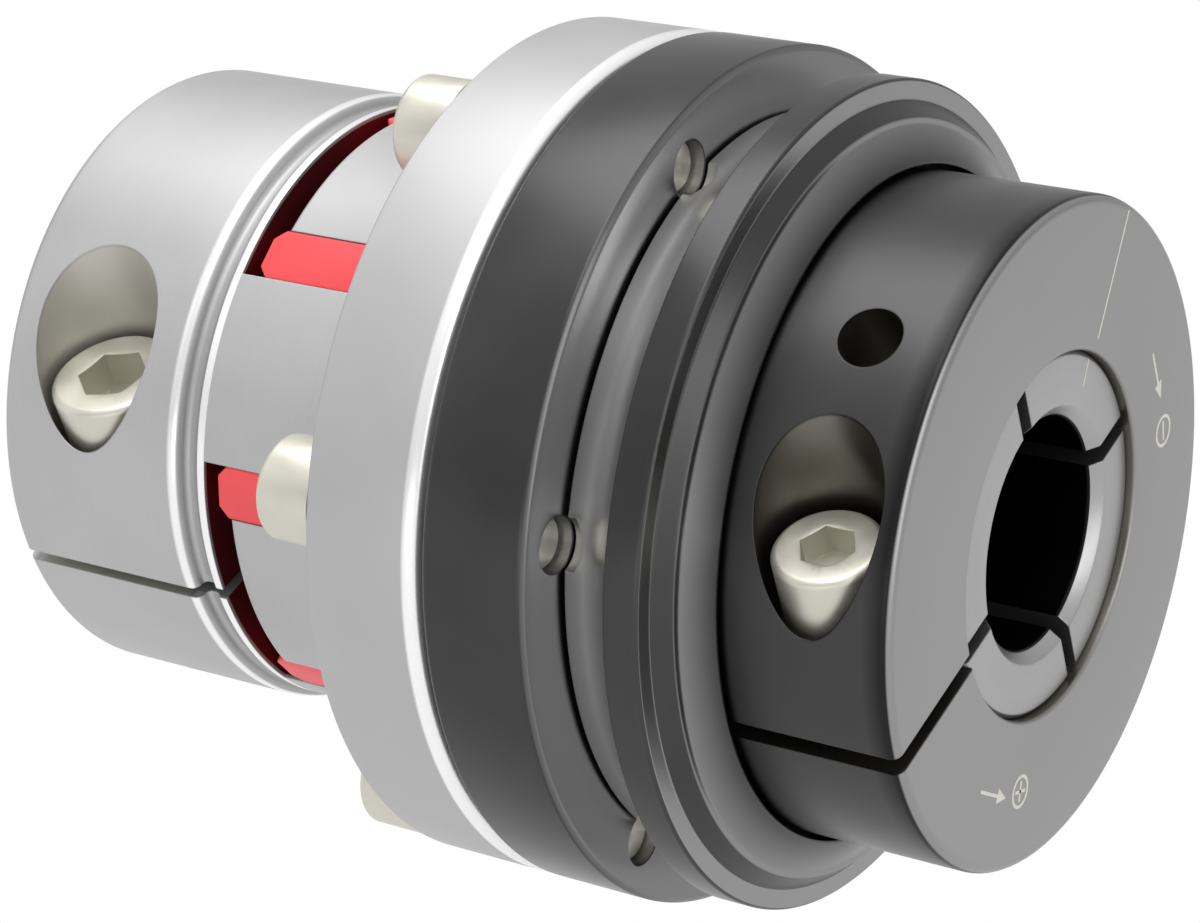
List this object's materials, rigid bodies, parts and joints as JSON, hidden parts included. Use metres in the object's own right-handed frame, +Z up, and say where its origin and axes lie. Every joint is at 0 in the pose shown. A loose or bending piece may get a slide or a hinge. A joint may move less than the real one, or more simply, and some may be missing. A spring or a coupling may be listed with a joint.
{
  "type": "torque limiter",
  "caption": "Ball-detent torque limiter with an adjusting nut and clamping bore, bolted to a plug-in jaw coupling with an elastomer spider and a clamp hub.",
  "frame": {"origin": "on the shaft axis, in the plane where the claw flange is bolted to the flange ring", "axes": "+X along the shaft axis towards the adjusting nut, +Z up as the picture shows the part"},
  "size_m": [0.1266, 0.106, 0.106],
  "materials": {
    "sleeve_steel": "satin",
    "bearing_steel": "ground",
    "ball_steel": "polished",
    "cage_brass": "satin",
    "spring_steel": "phosphated",
    "dark_steel": "blackened, satin",
    "nut_steel": "blackened, ground face",
    "screw_steel": "nickel plated",
    "coupling_aluminium": "turned, satin",
    "spider_elastomer": "satin"
  },
  "bodies": {
    "hub": {"hub_sleeve": "sleeve_steel", "bearing_inner_ring": "bearing_steel", "retaining_ring": "spring_steel"},
    "output": {"flange_ring": "dark_steel", "claw_flange": "coupling_aluminium", "flange_screws": "screw_steel", "dowel_pins": "bearing_steel", "bearing_outer_ring": "bearing_steel", "spider": "spider_elastomer"},
    "detent": {"switching_ring": "dark_steel", "thrust_race": "bearing_steel", "detent_balls": "ball_steel", "disc_spring_left": "spring_steel"},
    "bearing_set": {"bearing_cage": "cage_brass", "bearing_balls": "ball_steel"},
    "adjuster": {"thrust_washer": "bearing_steel", "disc_spring_right": "spring_steel"},
    "nut": {"adjusting_nut": "nut_steel", "nut_clamp_screw": "screw_steel"},
    "coupled_hub": {"clamp_hub": "coupling_aluminium", "hub_clamp_screw": "screw_steel"}
  },
  "joints": [
    {"name": "overload_slip", "type": "hinge", "parent": "hub", "child": "output", "pos_m": [0, 0, 0], "axis": [1, 0, 0], "range_deg": [0, 4.54], "stiffness_Nm_per_rad": 30, "springref_deg": -1.15},
    {"name": "release_slide", "type": "slide", "parent": "hub", "child": "detent", "axis": [1, 0, 0], "range_m": [0, 0.0027], "deforming": ["disc_spring_left", "disc_spring_right"]},
    {"name": "bearing_turn", "type": "hinge", "parent": "hub", "child": "bearing_set", "pos_m": [0, 0, 0], "axis": [1, 0, 0], "range_deg": [0, 2.5]},
    {"name": "adjust_travel", "type": "slide", "parent": "hub", "child": "adjuster", "axis": [1, 0, 0], "range_m": [-0.00076, 0.00076], "deforming": ["disc_spring_left", "disc_spring_right"]},
    {"name": "nut_turn", "type": "hinge", "parent": "adjuster", "child": "nut", "pos_m": [0, 0, 0], "axis": [1, 0, 0], "range_deg": [-180, 180]},
    {"name": "plug_in", "type": "slide", "parent": "output", "child": "coupled_hub", "axis": [-1, 0, 0], "range_m": [0, 0.025]}
  ],
  "couplings": [
    {"joint": "release_slide", "follows": "overload_slip", "m_per_rad": 0.034},
    {"joint": "bearing_turn", "follows": "overload_slip", "ratio": 0.5244},
    {"joint": "adjust_travel", "follows": "nut_turn", "m_per_rad": 0.00023873}
  ]
}
